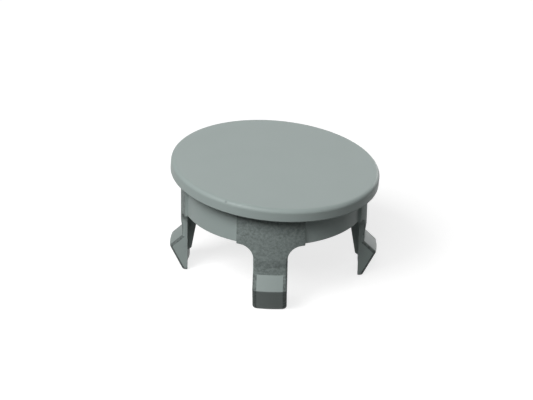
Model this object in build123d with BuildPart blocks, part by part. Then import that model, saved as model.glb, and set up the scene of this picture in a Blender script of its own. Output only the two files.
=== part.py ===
"""Snap-in cover for a round tow ball opening.

One moulded piece: a round disc on a short hollow skirt, with four spring legs
that end in outward barbs. The disc leans a little, so the skirt is taller on
one side. Each leg grows out of a wide panel that stands proud of the skirt,
and is stiffened by a tapered rib on its inner side.

Millimetres, +Z up. The origin is on the axis of the skirt, level with the
leg tips. The front leg points along -Y, the high side of the disc along -X.
"""
import os
from math import cos, radians, sin, sqrt, tan

from build123d import *

# Disc
disc_radius = 30.0
disc_overhang = 3.85
disc_height = 3.65
disc_top_edge_radius = 1.2
disc_lower_edge_bevel = 0.25
disc_tilt = 3.8
disc_wall = 2.0

# Skirt under the disc, its height measured on the axis
skirt_wall = 1.4
skirt_height = 9.5
skirt_edge_bevel = 0.2
skirt_root_bevel = 0.3

# Panels that carry the legs
panel_proud = 0.8
panel_width = 19.3
panel_drop = 0.15

# Legs, below the lower edge of the skirt
leg_count = 4
leg_length = 20.3
leg_width = 9.7
leg_wall = 1.45
leg_step = 0.3
leg_step_height = 2.0
leg_edge_radius = 0.8

# Barbs at the leg ends
barb_reach = 3.55
barb_lead_height = 7.4
barb_slope_height = 4.3
tip_wall = 1.2
tip_corner_radius = 1.1

# Ribs inside the legs
rib_thickness = 1.2
rib_end_height = 4.4
rib_end_rise = 1.0
rib_end_reach = 1.3
rib_taper = 10.0

# Radii and heights that follow from those sizes
skirt_radius = disc_radius - disc_overhang
panel_radius = skirt_radius + panel_proud
arm_radius = panel_radius - leg_step
leg_inner_radius = arm_radius - leg_wall
barb_radius = arm_radius + barb_reach
tip_radius = leg_inner_radius + tip_wall
skirt_inner_radius = skirt_radius - skirt_wall
disc_underside = leg_length + skirt_height
barb_root_height = barb_lead_height + barb_slope_height
half_panel = panel_width / 2
half_leg = leg_width / 2
root_radius = half_panel - half_leg
panel_bottom = leg_length - panel_drop
root_start = panel_bottom - root_radius
step_top = root_start + leg_step_height
tilt = radians(disc_tilt)
top_height = disc_underside + disc_height + disc_radius * tan(tilt)

# Rounded and bevelled edges stay within the walls that carry them
disc_top_edge = min(disc_top_edge_radius, disc_height / 2)
disc_lower_edge = min(disc_lower_edge_bevel, disc_height / 4)
skirt_edge = min(skirt_edge_bevel, skirt_wall / 3)
skirt_root = min(skirt_root_bevel, panel_proud / 2.5)
leg_edge = min(leg_edge_radius, 0.7 * tip_wall, 0.8 * tip_corner_radius)

# The leaning plane of the disc's underside crosses the skirt's axis
disc_plane = Plane(
    origin=(0, 0, disc_underside),
    x_dir=(cos(tilt), 0, -sin(tilt)),
    z_dir=(sin(tilt), 0, cos(tilt)),
)
hollow_roof = disc_plane.offset(disc_height - disc_wall)
inside_disc_wall = disc_plane.offset(disc_height - disc_wall / 2)

# Disc with its rounded upper rim and a small bevel below
with BuildPart() as disc:
    with BuildSketch(disc_plane):
        Circle(disc_radius)
    extrude(amount=disc_height)
    rims = disc.edges().filter_by(GeomType.CIRCLE).sort_by(Axis.Z)
    fillet(rims[-1], radius=disc_top_edge)
    chamfer(rims[0], length=disc_lower_edge)

# Skirt, still solid, that ends inside the leaning disc
with BuildPart() as skirt:
    with BuildSketch(Plane.XY.offset(leg_length)):
        Circle(skirt_radius)
    extrude(amount=top_height - leg_length)
    split(bisect_by=inside_disc_wall, keep=Keep.BOTTOM)
    lower_rim = skirt.edges().filter_by(GeomType.CIRCLE).sort_by(Axis.Z)[0]
    chamfer(lower_rim, length=skirt_edge)

# Hollow of the skirt, closed above by the disc's wall
with BuildPart() as hollow:
    with BuildSketch():
        Circle(skirt_inner_radius)
    extrude(amount=top_height)
    split(bisect_by=hollow_roof, keep=Keep.BOTTOM)

# Section of a leg, its barb and its panel, turned about the axis
with BuildPart() as leg_ring:
    with BuildSketch(Plane.XZ):
        with BuildLine():
            Polyline(
                (leg_inner_radius, 0),
                (tip_radius, 0),
                (barb_radius, barb_lead_height),
                (arm_radius, barb_root_height),
                (arm_radius, root_start),
                (panel_radius, step_top),
                (panel_radius, top_height),
                (leg_inner_radius, top_height),
                close=True,
            )
        make_face()
    revolve(axis=Axis.Z)

# One leg, cut from that ring by its outline as seen from outside
with BuildPart() as leg:
    with BuildSketch(Plane.YZ):
        with BuildLine():
            Line((0, top_height), (half_panel, top_height))
            Line((half_panel, top_height), (half_panel, panel_bottom))
            RadiusArc((half_panel, panel_bottom), (half_leg, root_start), -root_radius)
            Line((half_leg, root_start), (half_leg, tip_corner_radius))
            RadiusArc(
                (half_leg, tip_corner_radius),
                (half_leg - tip_corner_radius, 0),
                tip_corner_radius,
            )
            Line((half_leg - tip_corner_radius, 0), (0, 0))
            mirror(about=Plane.YZ)
        make_face()
    extrude(amount=barb_radius)
    add(leg_ring.part, mode=Mode.INTERSECT)
    leg_sides = leg.faces().filter_by(Axis.Y).filter_by_position(Axis.Z, 0, panel_bottom)
    leg_side_start = sqrt(leg_inner_radius**2 - half_leg**2) + leg_wall / 4
    outer_edges = (
        leg_sides.edges()
        .filter_by(Axis.X, reverse=True)
        .filter_by_position(Axis.X, leg_side_start, barb_radius)
    )
    fillet(outer_edges, radius=leg_edge)

# Its tapered rib on the inner side
rib_root = leg_inner_radius + leg_wall / 2
rib_corner = leg_inner_radius - rib_end_reach
rib_corner_height = rib_end_height + rib_end_rise
rib_top = rib_corner - (top_height - rib_corner_height) * tan(radians(rib_taper))
with BuildPart() as rib:
    with BuildSketch(Plane.XZ):
        with BuildLine():
            Polyline(
                (rib_root, rib_end_height),
                (leg_inner_radius, rib_end_height),
                (rib_corner, rib_corner_height),
                (rib_top, top_height),
                (rib_root, top_height),
                close=True,
            )
        make_face()
    extrude(amount=rib_thickness / 2, both=True)

# The legs round the axis, ending inside the disc
with BuildPart() as legs:
    with PolarLocations(0, leg_count):
        add(leg.part)
        add(rib.part)
    split(bisect_by=inside_disc_wall, keep=Keep.BOTTOM)

# The whole cover is one solid, bevelled where skirt and panels meet the disc
with BuildPart() as cover:
    add(disc.part)
    add(skirt.part)
    add(hollow.part, mode=Mode.SUBTRACT)
    add(legs.part)
    leaning_faces = cover.faces().filter_by(disc_plane)
    seat = leaning_faces.sort_by(lambda face: abs(face.center().Z - disc_underside))[0]
    chamfer(seat.inner_wires()[0].edges(), length=skirt_root)

cover.part.label = "cover"

os.makedirs("parts", exist_ok=True)
export_step(cover.part, "parts/cover.step")
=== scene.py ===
"""Looks of the snap-in tow ball cover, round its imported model.

One satin grey moulding stands for the solid named cover. Sizes are millimetres
until a mesh is made, in the frame of the model: +Z up, the front leg along -Y,
the high side of the leaning disc along -X. The flares, barbs and steps of the
legs follow the photograph more closely than the solid does.
"""
from math import atan2, ceil, cos, hypot, pi, radians, sin, sqrt, tan

import bmesh
import bpy
from mathutils import Matrix, Vector


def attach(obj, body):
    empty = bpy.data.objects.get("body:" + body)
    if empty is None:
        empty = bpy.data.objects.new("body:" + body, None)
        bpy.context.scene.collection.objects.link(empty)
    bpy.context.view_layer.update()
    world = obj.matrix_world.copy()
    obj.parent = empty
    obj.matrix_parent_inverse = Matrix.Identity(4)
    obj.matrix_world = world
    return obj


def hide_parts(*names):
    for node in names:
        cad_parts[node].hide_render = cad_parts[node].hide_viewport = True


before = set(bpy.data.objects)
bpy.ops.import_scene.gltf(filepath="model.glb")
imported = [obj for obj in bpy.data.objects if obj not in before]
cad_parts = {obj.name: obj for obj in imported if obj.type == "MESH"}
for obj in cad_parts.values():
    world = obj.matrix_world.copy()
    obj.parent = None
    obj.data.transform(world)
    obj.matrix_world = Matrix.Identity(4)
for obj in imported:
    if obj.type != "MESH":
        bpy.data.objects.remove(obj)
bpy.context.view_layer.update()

MM = 0.001

# Disc
DISC_RADIUS = 30.0
DISC_HEIGHT = 3.65
DISC_TOP_EDGE = 1.2
DISC_LOWER_EDGE = 0.25
DISC_TILT = radians(3.8)
DISC_WALL = 2.0

# Skirt, its height measured on the axis
SKIRT_RADIUS = 26.15
SKIRT_WALL = 1.4
SKIRT_HEIGHT = 9.5
SKIRT_EDGE = 0.2

# Panels that carry the legs
PANEL_PROUD = 0.8
PANEL_WIDTH = 19.3
PANEL_DROP = 0.15
PANEL_EDGE = 0.2
FLARE_RADIUS = 4.0
# Height over which a panel widens from the end of its flare to its full width
LEDGE_LEVEL = 0.02

# Legs and their barbs
LEG_COUNT = 4
LEG_LENGTH = 20.3
LEG_WIDTH = 9.7
LEG_WALL = 1.45
LEG_STEP = 0.3
LEG_STEP_HEIGHT = 2.3
STEP_BELOW_FLARE = 0.35
LEG_EDGE = 0.8
LEG_INNER_EDGE = 0.12
BARB_REACH = 3.55
BARB_LEAD_HEIGHT = 7.75
BARB_SLOPE_HEIGHT = 3.4
BARB_CORNER = 0.25
BARB_ROOT = 0.3
# Width of the rougher strip along each side of a barb
BARB_STRIP = 1.2
# How much darker the lead-in slope is made than the barb's upper slope: painted shade on the
# downward-facing slope
LEAD_IN_PAINTED_SHADE = 1.5
STEP_ROUNDING = 0.8
TIP_WALL = 1.2
TIP_CORNER = 1.1

# Ribs inside the legs
RIB_THICKNESS = 1.2
RIB_END_HEIGHT = 4.4
RIB_END_RISE = 1.0
RIB_END_REACH = 1.3
RIB_TAPER = radians(10.0)
RIB_EDGE = 0.18
RIB_CORNER = 0.5

# Radii and heights that follow
PANEL_RADIUS = SKIRT_RADIUS + PANEL_PROUD
ARM_RADIUS = PANEL_RADIUS - LEG_STEP
LEG_INNER_RADIUS = ARM_RADIUS - LEG_WALL
BARB_RADIUS = ARM_RADIUS + BARB_REACH
TIP_RADIUS = LEG_INNER_RADIUS + TIP_WALL
SKIRT_INNER_RADIUS = SKIRT_RADIUS - SKIRT_WALL
DISC_UNDERSIDE = LEG_LENGTH + SKIRT_HEIGHT
BARB_ROOT_HEIGHT = BARB_LEAD_HEIGHT + BARB_SLOPE_HEIGHT
HALF_PANEL = PANEL_WIDTH / 2
HALF_LEG = LEG_WIDTH / 2
PANEL_BOTTOM = LEG_LENGTH - PANEL_DROP
FLARE_START = PANEL_BOTTOM - FLARE_RADIUS
STEP_TOP = FLARE_START - STEP_BELOW_FLARE

# How finely round shapes are divided: steps in a circle and the angle of a step in an arc, then
# steps across a leg, over its outer and inner edges, in its turns and up its lead-in slope
ROUND_STEPS = 288
ARC_STEP = radians(9.0)
LEG_FACE_STEPS = 28
EDGE_STEPS = 7
INNER_EDGE_STEPS = 2
TURN_STEPS = 18
LEAD_STEPS = 8
RIB_EDGE_STEPS = 3
# Rows of a leg that would be closer than this are left out
LEAST_LEVEL = 0.012

# Extra points this far past a corner keep the shading of the plain faces beside it even
DISC_SUPPORT = 0.35
SKIRT_SUPPORT = 1.0
PANEL_SUPPORT = 0.4
FLARE_SUPPORT = 0.3

# An edge is shown sharp from the first angle, and a rib's is rounded from the second
SHARP_ANGLE = radians(32.0)
RIB_SHARP_ANGLE = radians(60.0)
# Points closer than the first distance become one, and edges shorter than the second go
WELD_DISTANCE = 0.002
SLIVER = 0.001

# A leg's edges grow sharper from just below its flare, and stay within its wall
EDGE_FADE_BELOW = 0.5
EDGE_SHARE_OF_WALL = 0.7

# How far a face must look outwards to carry texture: on a panel, a slope, and a slope's side strip
PANEL_FACING, SLOPE_FACING, STRIP_FACING = 0.6, 0.5, 0.25


def rounded(corners):
    """Points along straight runs that meet in arcs. Each corner is (x, y, arc radius)."""
    points = [Vector(corners[0][:2])]
    for before, corner, after in zip(corners, corners[1:], corners[2:]):
        here, radius = Vector(corner[:2]), corner[2]
        back = (Vector(before[:2]) - here).normalized()
        ahead = (Vector(after[:2]) - here).normalized()
        if not radius:
            points.append(here)
            continue
        half_angle = back.angle(ahead) / 2
        middle = here + (back + ahead).normalized() * radius / sin(half_angle)
        reach = radius / tan(half_angle)
        first = here + back * reach - middle
        last = here + ahead * reach - middle
        turn = first.angle(last)
        steps = max(2, ceil(turn / ARC_STEP))
        for i in range(steps + 1):
            a = turn * i / steps
            points.append(middle + (first * sin(turn - a) + last * sin(a)) / sin(turn))
    points.append(Vector(corners[-1][:2]))
    return points


def in_disc_wall(x):
    """Height of the plane inside the disc's wall where hidden ends stop."""
    return DISC_UNDERSIDE + (DISC_HEIGHT - DISC_WALL / 2) / cos(DISC_TILT) - x * tan(DISC_TILT)


def as_object(name, points, faces):
    """A closed mesh object from points in millimetres, its normals turned outwards."""
    mesh = bpy.data.meshes.new(name)
    mesh.from_pydata([tuple(Vector(p) * MM) for p in points], [], faces)
    shape = bmesh.new()
    shape.from_mesh(mesh)
    bmesh.ops.recalc_face_normals(shape, faces=shape.faces)
    shape.to_mesh(mesh)
    shape.free()
    obj = bpy.data.objects.new(name, mesh)
    bpy.context.collection.objects.link(obj)
    return obj


def bridge(rows, closed_ends):
    """Faces between rows of points that are all as long, with an end face at each end if asked."""
    size = len(rows[0])
    faces = []
    for k in range(len(rows) - 1):
        low, high = k * size, (k + 1) * size
        for i in range(size):
            j = (i + 1) % size
            faces.append((low + i, low + j, high + j, high + i))
    if closed_ends:
        faces.append(tuple(range(size)))
        faces.append(tuple((len(rows) - 1) * size + i for i in range(size)))
    return faces


def ring(radius, height, steps=ROUND_STEPS):
    """A level circle of points round the axis."""
    turns = [2 * pi * (i + 0.5) / steps for i in range(steps)]
    return [Vector((radius * cos(a), radius * sin(a), height)) for a in turns]


def disc():
    """The disc, turned about its own leaning axis, hollow inside the skirt."""
    roof = DISC_HEIGHT - DISC_WALL
    in_skirt_wall = SKIRT_INNER_RADIUS + SKIRT_WALL / 2
    outline = rounded([
        (DISC_SUPPORT, roof, 0),
        (in_skirt_wall, roof, 0),
        (in_skirt_wall, 0, 0),
        (DISC_RADIUS - DISC_LOWER_EDGE - DISC_SUPPORT, 0, 0),
        (DISC_RADIUS, 0, DISC_LOWER_EDGE),
        (DISC_RADIUS, DISC_HEIGHT, DISC_TOP_EDGE),
        (DISC_RADIUS - DISC_TOP_EDGE - DISC_SUPPORT, DISC_HEIGHT, 0),
        (DISC_RADIUS / 2, DISC_HEIGHT, 0),
        (DISC_SUPPORT, DISC_HEIGHT, 0),
    ])
    lean = Matrix.Translation((0, 0, DISC_UNDERSIDE)) @ Matrix.Rotation(DISC_TILT, 4, "Y")
    rows = [[lean @ p for p in ring(r, h)] for r, h in outline]
    points = [p for row in rows for p in row]
    return as_object("disc", points, bridge(rows, True))


def skirt():
    """The skirt's wall, which ends inside the leaning disc."""
    middle = SKIRT_RADIUS - SKIRT_WALL / 2
    outline = rounded([
        (SKIRT_RADIUS, LEG_LENGTH + SKIRT_SUPPORT, 0),
        (SKIRT_RADIUS, LEG_LENGTH, SKIRT_EDGE),
        (middle, LEG_LENGTH, 0),
        (SKIRT_INNER_RADIUS, LEG_LENGTH, SKIRT_EDGE),
        (SKIRT_INNER_RADIUS, LEG_LENGTH + SKIRT_SUPPORT, 0),
    ])
    rows = [ring(r, h) for r, h in outline]
    for radius, at_end in ((SKIRT_RADIUS, False), (SKIRT_INNER_RADIUS, True)):
        top = [Vector((p.x, p.y, in_disc_wall(p.x))) for p in ring(radius, 0)]
        rows.insert(len(rows) if at_end else 0, top)
    rows.append(rows[0])
    size = len(rows[0])
    points = [p for row in rows[:-1] for p in row]
    faces = bridge(rows, False)
    count = len(points)
    faces = [tuple(i % count for i in face) for face in faces]
    return as_object("skirt", points, faces)


LEG_OUTLINE = rounded([
    (LEG_INNER_RADIUS, 0, 0),
    (TIP_RADIUS, 0, LEG_EDGE),
    (BARB_RADIUS, BARB_LEAD_HEIGHT, BARB_CORNER),
    (ARM_RADIUS, BARB_ROOT_HEIGHT, BARB_ROOT),
    (ARM_RADIUS, STEP_TOP - LEG_STEP_HEIGHT, STEP_ROUNDING),
    (PANEL_RADIUS, STEP_TOP, STEP_ROUNDING),
    (PANEL_RADIUS, DISC_UNDERSIDE, 0),
])[1:]


def leg_outer_radius(z):
    """Radius of the outside of the leg at a height."""
    for low, high in zip(LEG_OUTLINE, LEG_OUTLINE[1:]):
        if z <= high.y:
            share = (z - low.y) / (high.y - low.y)
            return low.x + share * (high.x - low.x)
    return PANEL_RADIUS


def leg_half_width(z):
    """Half the width of the leg or its panel at a height."""
    if z < TIP_CORNER:
        return HALF_LEG - TIP_CORNER + sqrt(TIP_CORNER**2 - (TIP_CORNER - z)**2)
    if z < FLARE_START:
        return HALF_LEG
    if z < PANEL_BOTTOM + LEDGE_LEVEL / 2:
        rise = min(z - FLARE_START, FLARE_RADIUS)
        return HALF_LEG + FLARE_RADIUS - sqrt(FLARE_RADIUS**2 - rise**2)
    return HALF_PANEL


def leg_edge_radius(z):
    """Radius of the outer side edges at a height: full on the leg, small on the panel."""
    fade = min(max((z - FLARE_START + EDGE_FADE_BELOW) / LEG_STEP_HEIGHT, 0), 1)
    fade = fade * fade * (3 - 2 * fade)
    radius = LEG_EDGE + (PANEL_EDGE - LEG_EDGE) * fade
    return min(radius, EDGE_SHARE_OF_WALL * (leg_outer_radius(z) - LEG_INNER_RADIUS))


def leg_levels():
    """Heights of the leg's rows: close together where its outline or its width turns."""
    levels = [p.y for p in LEG_OUTLINE]
    turns = [pi / 2 * i / TURN_STEPS for i in range(TURN_STEPS + 1)]
    levels += [TIP_CORNER * (1 - cos(a)) for a in turns]
    levels += [FLARE_START + FLARE_RADIUS * sin(a) for a in turns]
    levels += [BARB_LEAD_HEIGHT * i / LEAD_STEPS for i in range(LEAD_STEPS + 1)]
    levels += [PANEL_BOTTOM + LEDGE_LEVEL, PANEL_BOTTOM + PANEL_SUPPORT, FLARE_START - FLARE_SUPPORT]
    kept = []
    for z in sorted(levels):
        if not kept or z - kept[-1] > LEAST_LEVEL:
            kept.append(z)
    return kept


def leg_row(z):
    """Points round a leg along +X at one height, with rounded edges."""
    half, outer, edge = leg_half_width(z), leg_outer_radius(z), leg_edge_radius(z)
    inner = LEG_INNER_EDGE
    # Half of the loop: the inner face, its edge, the side, the outer edge and the outer face
    edge_middle = Vector((sqrt((outer - edge)**2 - (half - edge)**2), half - edge))
    root_middle = Vector((sqrt((LEG_INNER_RADIUS + inner)**2 - (half - inner)**2), half - inner))
    outer_turn = atan2(edge_middle.y, edge_middle.x)
    inner_turn = atan2(root_middle.y, root_middle.x)
    side = []
    for i in range(LEG_FACE_STEPS // 2):
        a = inner_turn * (i + 0.5) / (LEG_FACE_STEPS // 2)
        side.append(Vector((cos(a), sin(a))) * LEG_INNER_RADIUS)
    for i in range(INNER_EDGE_STEPS + 1):
        a = (pi + inner_turn) + (pi / 2 - pi - inner_turn) * i / INNER_EDGE_STEPS
        side.append(root_middle + Vector((cos(a), sin(a))) * inner)
    for i in range(EDGE_STEPS + 1):
        a = pi / 2 + (outer_turn - pi / 2) * i / EDGE_STEPS
        side.append(edge_middle + Vector((cos(a), sin(a))) * edge)
    for i in range(LEG_FACE_STEPS // 2):
        a = outer_turn * (1 - (i + 0.5) / (LEG_FACE_STEPS // 2))
        side.append(Vector((cos(a), sin(a))) * outer)
    other = [Vector((p.x, -p.y)) for p in reversed(side)]
    return [Vector((p.x, p.y, z)) for p in side + other]


def leg(turn):
    """A spring leg with its barb and its panel, turned to its place round the axis."""
    spin = Matrix.Rotation(turn, 4, "Z")
    rows = [[spin @ p for p in leg_row(z)] for z in leg_levels()]
    rows.append([Vector((p.x, p.y, in_disc_wall(p.x))) for p in rows[-1]])
    points = [p for row in rows for p in row]
    return as_object("leg", points, bridge(rows, True))


def rib(turn):
    """A tapered rib with rounded edges, on the inner side of a leg."""
    root = LEG_INNER_RADIUS + LEG_WALL / 2
    corner = LEG_INNER_RADIUS - RIB_END_REACH
    corner_height = RIB_END_HEIGHT + RIB_END_RISE
    spin = Matrix.Rotation(turn, 4, "Z")
    outward = spin @ Vector((1, 0, 0))
    top_root = in_disc_wall(outward.x * root)
    top_free = in_disc_wall(outward.x * corner)
    free = corner - (top_free - corner_height) * tan(RIB_TAPER)
    outline = [
        Vector((root, RIB_END_HEIGHT)),
        *rounded([
            (LEG_INNER_RADIUS, RIB_END_HEIGHT, 0),
            (corner, corner_height, RIB_CORNER),
            (free, top_free, 0),
        ]),
        Vector((root, top_root)),
    ]
    sides = (-RIB_THICKNESS / 2, RIB_THICKNESS / 2)
    rows = [[spin @ Vector((p.x, y, p.y)) for p in outline] for y in sides]
    points = [p for row in rows for p in row]
    obj = as_object("rib", points, bridge(rows, True))
    shape = bmesh.new()
    shape.from_mesh(obj.data)
    bmesh.ops.bevel(
        shape,
        geom=[e for e in shape.edges if e.calc_face_angle(0) > RIB_SHARP_ANGLE],
        offset=RIB_EDGE * MM,
        segments=RIB_EDGE_STEPS,
        profile=0.5,
        affect="EDGES",
    )
    shape.to_mesh(obj.data)
    shape.free()
    return obj


def one_moulding(name, shapes):
    """One closed mesh from shapes that run into each other."""
    whole = shapes[0]
    for shape in shapes[1:]:
        join = whole.modifiers.new("join", "BOOLEAN")
        join.operation = "UNION"
        join.solver = "MANIFOLD"
        join.object = shape
    evaluated = whole.evaluated_get(bpy.context.evaluated_depsgraph_get())
    mesh = bpy.data.meshes.new_from_object(evaluated)
    mesh.name = name
    for shape in shapes:
        bpy.data.objects.remove(shape)
    shape = bmesh.new()
    shape.from_mesh(mesh)
    bmesh.ops.remove_doubles(shape, verts=shape.verts, dist=WELD_DISTANCE * MM)
    bmesh.ops.dissolve_degenerate(shape, edges=shape.edges, dist=SLIVER * MM)
    for edge in shape.edges:
        edge.smooth = edge.calc_face_angle(pi) < SHARP_ANGLE
    for face in shape.faces:
        face.smooth = True
    shape.to_mesh(mesh)
    shape.free()
    obj = bpy.data.objects.new(name, mesh)
    bpy.context.collection.objects.link(obj)
    return obj


def mark_textures(obj):
    """Marks the spark-eroded outside of the panels and legs, and the finer texture of the barbs, made
    darker on their downward-facing lead-in slopes as painted shade.
    """
    zone = obj.data.attributes.new("spark", "FLOAT", "FACE")
    barbs = obj.data.attributes.new("barb", "FLOAT", "FACE")
    for face in obj.data.polygons:
        at = face.center / MM
        outward = Vector((at.x, at.y, 0)).normalized()
        facing = face.normal.dot(outward)
        outside = hypot(at.x, at.y) > SKIRT_RADIUS + PANEL_PROUD / 4 and facing > PANEL_FACING
        on_leg = BARB_ROOT_HEIGHT < at.z < in_disc_wall(at.x) - DISC_HEIGHT / 2
        on_barb = at.z < BARB_ROOT_HEIGHT and hypot(at.x, at.y) > TIP_RADIUS - LEG_EDGE
        at_side = min(abs(at.x), abs(at.y)) > HALF_LEG - BARB_STRIP
        in_strip = on_barb and at_side and facing > STRIP_FACING
        zone.data[face.index].value = 1.0 if (outside and on_leg) or in_strip else 0.0
        on_slope = (on_barb and facing > SLOPE_FACING) or in_strip
        # On the downward-facing lead-in slope the extra darkening is painted shade
        texture_and_painted_shade = LEAD_IN_PAINTED_SHADE if at.z < BARB_LEAD_HEIGHT and not in_strip else 1.0
        barbs.data[face.index].value = texture_and_painted_shade if on_slope else 0.0


leg_turns = [2 * pi * i / LEG_COUNT for i in range(LEG_COUNT)]
cover = one_moulding("moulded_cover", [disc(), skirt(), *map(leg, leg_turns), *map(rib, leg_turns)])
even = cover.modifiers.new("even shading", "WEIGHTED_NORMAL")
even.keep_sharp = True
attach(cover, "root")
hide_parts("cover")
mark_textures(cover)


def add_node(tree, kind, inputs=None, **settings):
    """A node with its settings and its input values or links."""
    node = tree.nodes.new(kind)
    for key, value in settings.items():
        setattr(node, key, value)
    for key, value in (inputs or {}).items():
        if isinstance(value, bpy.types.NodeSocket):
            tree.links.new(value, node.inputs[key])
        else:
            node.inputs[key].default_value = value
    return node


def new_material(name):
    """An empty node material and its tree."""
    material = bpy.data.materials.new(name)
    material.use_nodes = True
    material.node_tree.nodes.clear()
    return material, material.node_tree


def maths(tree, operation, *values):
    """The result of a math node."""
    return add_node(tree, "ShaderNodeMath", dict(enumerate(values)), operation=operation).outputs[0]


def vector_maths(tree, operation, *values):
    """The result of a vector math node."""
    node = add_node(tree, "ShaderNodeVectorMath", dict(enumerate(values)), operation=operation)
    return node.outputs["Vector"]


def noise(tree, place, size, detail, roughness):
    """Noise from 0 to 1 whose spots are about size millimetres wide."""
    inputs = {"Vector": place, "Scale": 1 / (size * MM), "Detail": detail, "Roughness": roughness}
    return add_node(tree, "ShaderNodeTexNoise", inputs, normalize=True).outputs["Fac"]


# The plastic, and how much darker its textures are on the panels and legs and on the barbs, where the
# lead-in slopes also carry painted shade
PLASTIC = (0.355, 0.415, 0.4)
SPARK_DARKER, BARB_DARKER = 0.36, 0.26
REFRACTION, REFLECTION = 1.45, 0.25

# Noises: the size of their spots in millimetres, detail and roughness
CLOUD = (14.0, 2.0, 0.5)
SPECKLE = (0.75, 3.0, 0.65)
GRAIN = (0.16, 2.0, 0.6)
STREAKS = (0.6, 2.0, 0.5)

# How strongly the noises show in the colour, the roughness and the height
CLOUD_DEPTH, MOTTLE = 0.06, 0.95
ROUGHNESS, SPARK_ROUGHER, GRAIN_ROUGHER = 0.44, 0.22, 0.12
GRAIN_HEIGHT, BUMP_STRENGTH, BUMP_HEIGHT = 0.06, 0.5, 0.12

# On the front of the rim: painted highlight in streaks along its rounded edge, and a speck of wear;
# where they are and how far they reach
HIGHLIGHT_STREAK_PLACE, HIGHLIGHT_STREAK_SPREAD, HIGHLIGHT_STREAK_LIGHTER = (-7.5, -28.4, 33.7), (10.0, 1.8, 1.8), 0.9
SPECK_PLACE, SPECK_SPREAD, SPECK_DARKER = (-12.6, -26.9, 33.9), (0.55, 0.55, 0.55), 0.45
STREAK_STRETCH = (0.1, 1.0, 1.0)


def near(tree, place, middle, spread):
    """1 at a point given in millimetres, falling to 0 where its spread ends."""
    middle = [m * MM for m in middle]
    scale = [1 / (s * MM) for s in spread]
    offset = vector_maths(tree, "SUBTRACT", place, middle)
    shares = vector_maths(tree, "MULTIPLY", offset, scale)
    far = add_node(tree, "ShaderNodeVectorMath", {0: shares}, operation="LENGTH")
    return maths(tree, "MAXIMUM", maths(tree, "SUBTRACT", 1.0, far.outputs["Value"]), 0.0)


def satin_plastic():
    """Grey moulded plastic: satin, faintly uneven, with a spark-eroded texture where it is marked."""
    material, tree = new_material("satin_grey_plastic")
    place = add_node(tree, "ShaderNodeTexCoord").outputs["Object"]
    spark = add_node(tree, "ShaderNodeAttribute", attribute_name="spark").outputs["Fac"]
    barb = add_node(tree, "ShaderNodeAttribute", attribute_name="barb").outputs["Fac"]
    cloud = noise(tree, place, *CLOUD)
    speckle = noise(tree, place, *SPECKLE)
    grain = noise(tree, place, *GRAIN)

    unevenness = maths(tree, "MULTIPLY_ADD", cloud, CLOUD_DEPTH, 1 - CLOUD_DEPTH / 2)
    mottle = maths(tree, "MULTIPLY", maths(tree, "SUBTRACT", speckle, 0.5), spark)
    tone = maths(tree, "MULTIPLY_ADD", spark, -SPARK_DARKER, unevenness)
    # The barbs' texture, with painted shade on their lead-in slopes
    tone = maths(tree, "MULTIPLY_ADD", barb, -BARB_DARKER, tone)
    brightness = maths(tree, "MULTIPLY_ADD", mottle, MOTTLE, tone)
    # Painted highlight: lighter streaks along the rounded front edge of the rim
    along_rim = vector_maths(tree, "MULTIPLY", place, STREAK_STRETCH)
    streaks = maths(tree, "SUBTRACT", noise(tree, along_rim, *STREAKS), 0.5)
    streaks = maths(tree, "MAXIMUM", streaks, 0.0)
    painted_highlight_streaks = maths(tree, "MULTIPLY", streaks, near(tree, place, HIGHLIGHT_STREAK_PLACE, HIGHLIGHT_STREAK_SPREAD))
    brightness = maths(tree, "MULTIPLY_ADD", painted_highlight_streaks, HIGHLIGHT_STREAK_LIGHTER, brightness)
    speck = near(tree, place, SPECK_PLACE, SPECK_SPREAD)
    brightness = maths(tree, "MULTIPLY_ADD", speck, -SPECK_DARKER, brightness)
    colour = vector_maths(tree, "MULTIPLY", PLASTIC, brightness)

    gloss = maths(tree, "MULTIPLY_ADD", spark, SPARK_ROUGHER, ROUGHNESS)
    gloss = maths(tree, "MULTIPLY_ADD", maths(tree, "SUBTRACT", grain, 0.5), GRAIN_ROUGHER, gloss)
    rough_height = maths(tree, "MULTIPLY", speckle, spark)
    height = maths(tree, "MULTIPLY_ADD", grain, GRAIN_HEIGHT, rough_height)
    bump = add_node(tree, "ShaderNodeBump", {
        "Height": height,
        "Strength": BUMP_STRENGTH,
        "Distance": BUMP_HEIGHT * MM,
    })
    shader = add_node(tree, "ShaderNodeBsdfPrincipled", {
        "Base Color": colour,
        "Roughness": gloss,
        "IOR": REFRACTION,
        "Specular IOR Level": REFLECTION,
        "Normal": bump.outputs["Normal"],
    })
    add_node(tree, "ShaderNodeOutputMaterial", {"Surface": shader.outputs["BSDF"]})
    return material


cover.data.materials.clear()
cover.data.materials.append(satin_plastic())

FLOOR_SIZE = 4.0
# What lights the object from below, and what the camera sees: a glow and a share that takes shadows
FLOOR_COLOUR = (0.1, 0.1, 0.1, 1.0)
FLOOR_GLOW = 0.75
FLOOR_SEEN_COLOUR = (0.45, 0.45, 0.45, 1.0)


def seen_directly(tree):
    """1 for what the camera sees, itself or in a glossy or clear surface, and 0 otherwise."""
    path = add_node(tree, "ShaderNodeLightPath").outputs
    seen = maths(tree, "MAXIMUM", path["Is Camera Ray"], path["Is Glossy Ray"])
    return maths(tree, "MAXIMUM", seen, path["Is Transmission Ray"])


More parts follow.
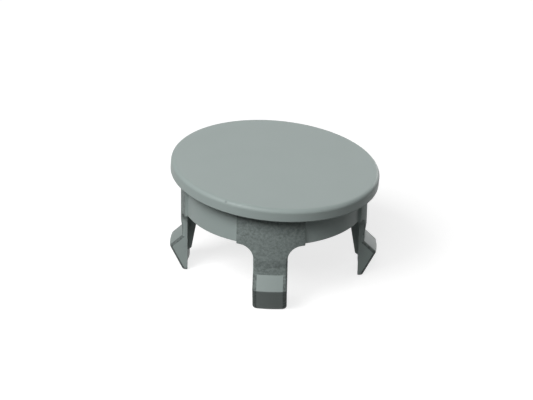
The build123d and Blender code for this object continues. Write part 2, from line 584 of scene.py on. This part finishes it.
def pale_floor():
    """A plain floor, white to the camera, that keeps a faint shadow of the object."""
    material, tree = new_material("plain_floor")
    plain = add_node(tree, "ShaderNodeBsdfDiffuse", {"Color": FLOOR_COLOUR})
    glow = add_node(tree, "ShaderNodeEmission", {"Strength": FLOOR_GLOW})
    lit = add_node(tree, "ShaderNodeBsdfDiffuse", {"Color": FLOOR_SEEN_COLOUR})
    bright = add_node(tree, "ShaderNodeAddShader", {0: glow.outputs[0], 1: lit.outputs[0]})
    chosen = add_node(tree, "ShaderNodeMixShader", {
        0: seen_directly(tree),
        1: plain.outputs[0],
        2: bright.outputs[0],
    })
    add_node(tree, "ShaderNodeOutputMaterial", {"Surface": chosen.outputs[0]})
    half = FLOOR_SIZE / 2
    corners = [(-half, -half, 0), (half, -half, 0), (half, half, 0), (-half, half, 0)]
    mesh = bpy.data.meshes.new("floor")
    mesh.from_pydata(corners, [], [(0, 1, 2, 3)])
    floor = bpy.data.objects.new("floor", mesh)
    bpy.context.collection.objects.link(floor)
    mesh.materials.append(material)


def white_world():
    """White behind the object, and dark for the light that falls on it."""
    world = bpy.data.worlds.new("studio")
    world.use_nodes = True
    tree = world.node_tree
    tree.nodes.clear()
    background = add_node(tree, "ShaderNodeBackground", {"Strength": seen_directly(tree)})
    add_node(tree, "ShaderNodeOutputWorld", {"Surface": background.outputs[0]})
    bpy.context.scene.world = world


# Lamps: azimuth, 0 over the front leg and 90 over the right one, elevation, and watts
LAMPS = {
    "key": (-45, 46, 6.9),
    "back_right": (150, 12, 2.6),
    "back": (-180, 18, 0.8),
    "front": (-8, 50, 2.8),
    "right": (70, 22, 0.4),
}
# In metres
LAMP_DISTANCE = 1.0
LAMP_SIZE = 0.45


def soft_lamp(name, azimuth, elevation, watts):
    """A square area lamp that looks at the object."""
    a, e = radians(azimuth), radians(elevation)
    away = Vector((sin(a) * cos(e), -cos(a) * cos(e), sin(e)))
    lamp = bpy.data.lights.new(name, "AREA")
    lamp.size = LAMP_SIZE
    lamp.energy = watts
    obj = bpy.data.objects.new(name, lamp)
    obj.location = away * LAMP_DISTANCE
    obj.rotation_euler = away.to_track_quat("Z", "Y").to_euler()
    bpy.context.collection.objects.link(obj)


pale_floor()
white_world()
for lamp_name, values in LAMPS.items():
    soft_lamp(lamp_name, *values)

# The camera, from the photograph's frame
FRAME_WIDTH, FRAME_HEIGHT = 533, 400
CAMERA_AZIMUTH = radians(1.6)
CAMERA_ELEVATION = radians(27.0)
CAMERA_ROLL = radians(1.15)
CAMERA_DISTANCE = 644.0
PIXELS_PER_MM = 3.445
TARGET = Vector((0, 0, 16.0))
TARGET_PIXEL = (273.84, 216.9)
SENSOR_WIDTH = 36.0
VIEW_LIMIT = 20.0


def photo_camera():
    """A long lens at the photograph's angle, level with its frame and a little rolled."""
    a, e, roll = CAMERA_AZIMUTH, CAMERA_ELEVATION, CAMERA_ROLL
    forward = Vector((-sin(a) * cos(e), cos(a) * cos(e), -sin(e)))
    level_right = Vector((cos(a), sin(a), 0))
    level_up = level_right.cross(forward)
    right = level_right * cos(roll) + level_up * sin(roll)
    up = level_up * cos(roll) - level_right * sin(roll)
    place = TARGET - forward * CAMERA_DISTANCE
    across = (TARGET_PIXEL[0] - FRAME_WIDTH / 2) / PIXELS_PER_MM
    down = (TARGET_PIXEL[1] - FRAME_HEIGHT / 2) / PIXELS_PER_MM
    middle = TARGET - right * across + up * down
    back = (place - middle).normalized()
    right = up.cross(back).normalized()
    up = back.cross(right)
    data = bpy.data.cameras.new("photo_camera")
    data.sensor_width = SENSOR_WIDTH
    data.sensor_fit = "HORIZONTAL"
    data.lens = PIXELS_PER_MM * CAMERA_DISTANCE * SENSOR_WIDTH / FRAME_WIDTH
    data.clip_end = VIEW_LIMIT
    camera = bpy.data.objects.new("photo_camera", data)
    turn = Matrix((right, up, back)).transposed().to_4x4()
    camera.matrix_world = Matrix.Translation(place * MM) @ turn
    bpy.context.collection.objects.link(camera)
    bpy.context.scene.camera = camera


photo_camera()
bpy.context.scene.view_settings.view_transform = "Standard"
